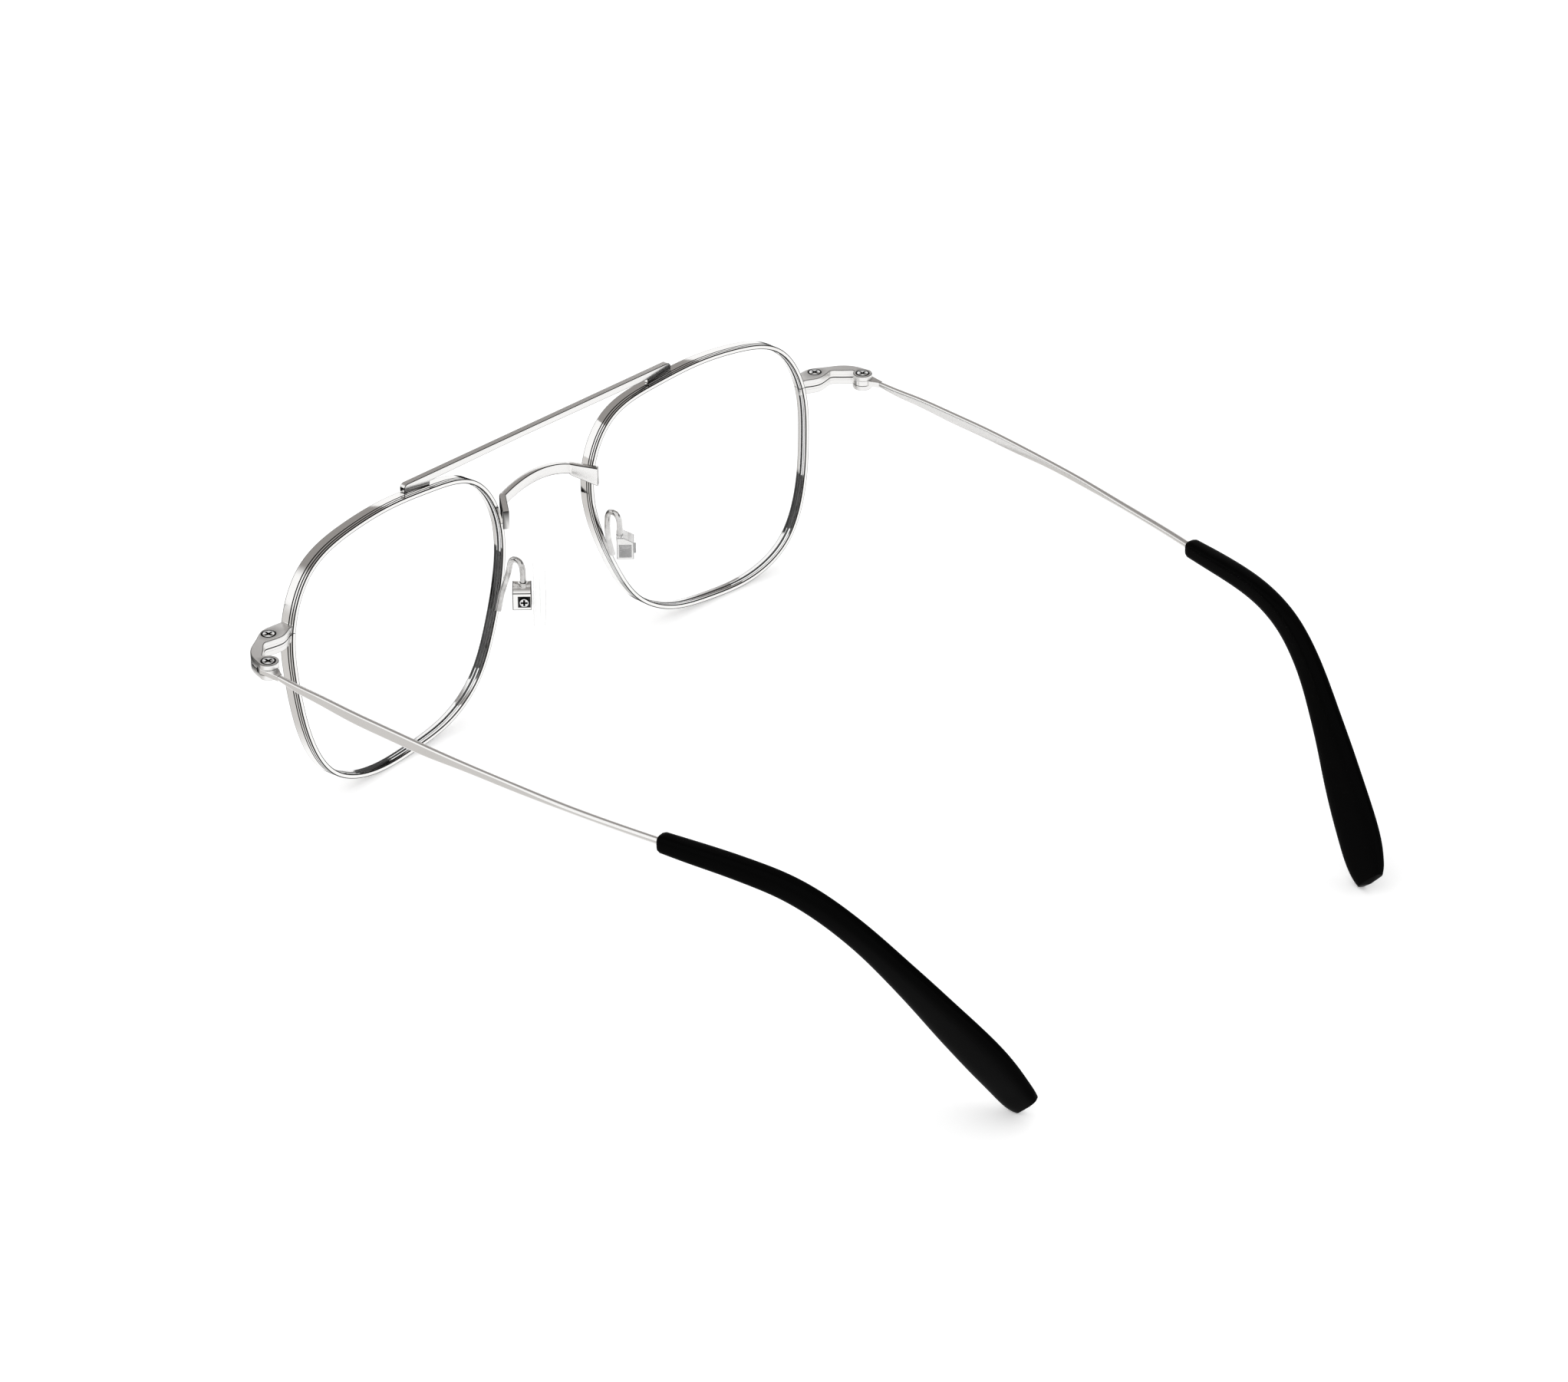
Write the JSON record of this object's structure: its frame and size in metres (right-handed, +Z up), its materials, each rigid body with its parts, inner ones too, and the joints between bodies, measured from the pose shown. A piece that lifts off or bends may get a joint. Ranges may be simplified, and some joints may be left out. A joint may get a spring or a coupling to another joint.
{
  "type": "eyeglasses",
  "caption": "Metal spectacles with a straight top bar above an arched bridge, clear lenses, adjustable nose pads and folding temples with dark tips, standing open.",
  "frame": {"origin": "centre of the bottom of the open glasses' box, on the surface they stand on", "axes": "+Z up, +X towards the wearer's left, +Y from the lenses back along the temples"},
  "size_m": [0.137, 0.1452, 0.0457],
  "materials": {
    "frame_metal": "polished",
    "screw_steel": "turned, bright",
    "lens_clear": "clear, coated",
    "pad_silicone": "clear silicone",
    "pad_core_plastic": "clear, moulded",
    "tip_acetate": "gloss black"
  },
  "bodies": {
    "front": {"top_bar": "frame_metal", "bridge": "frame_metal", "rim_left": "frame_metal", "rim_right": "frame_metal", "lens_left": "lens_clear", "lens_right": "lens_clear", "end_piece_upper_left": "frame_metal", "end_piece_upper_right": "frame_metal", "end_piece_lower_left": "frame_metal", "end_piece_lower_right": "frame_metal", "closing_screw_left": "screw_steel", "closing_screw_right": "screw_steel", "hinge_screw_left": "screw_steel", "hinge_screw_right": "screw_steel", "pad_arm_left": "frame_metal", "pad_arm_right": "frame_metal", "pad_box_left": "frame_metal", "pad_box_right": "frame_metal", "pad_screw_left": "screw_steel", "pad_screw_right": "screw_steel"},
    "temple_left": {"temple_left": "frame_metal", "temple_tip_left": "tip_acetate"},
    "temple_right": {"temple_right": "frame_metal", "temple_tip_right": "tip_acetate"},
    "pad_left": {"nose_pad_left": "pad_silicone", "nose_pad_core_left": "pad_core_plastic"},
    "pad_right": {"nose_pad_right": "pad_silicone", "nose_pad_core_right": "pad_core_plastic"}
  },
  "joints": [
    {"name": "temple_left_fold", "type": "hinge", "parent": "front", "child": "temple_left", "pos_m": [0.0669, -0.06128, 0.03198], "axis": [0, 0, 1], "range_deg": [0, 79.5]},
    {"name": "temple_right_fold", "type": "hinge", "parent": "front", "child": "temple_right", "pos_m": [-0.0669, -0.06128, 0.03198], "axis": [0, 0, -1], "range_deg": [0, 70]},
    {"name": "pad_left_rock", "type": "hinge", "parent": "front", "child": "pad_left", "pos_m": [0.0115, -0.06327, 0.0206], "axis": [0.7071, 0.7071, 0], "range_deg": [-8, 8]},
    {"name": "pad_right_rock", "type": "hinge", "parent": "front", "child": "pad_right", "pos_m": [-0.0115, -0.06327, 0.0206], "axis": [-0.7071, 0.7071, 0], "range_deg": [-8, 8]}
  ]
}
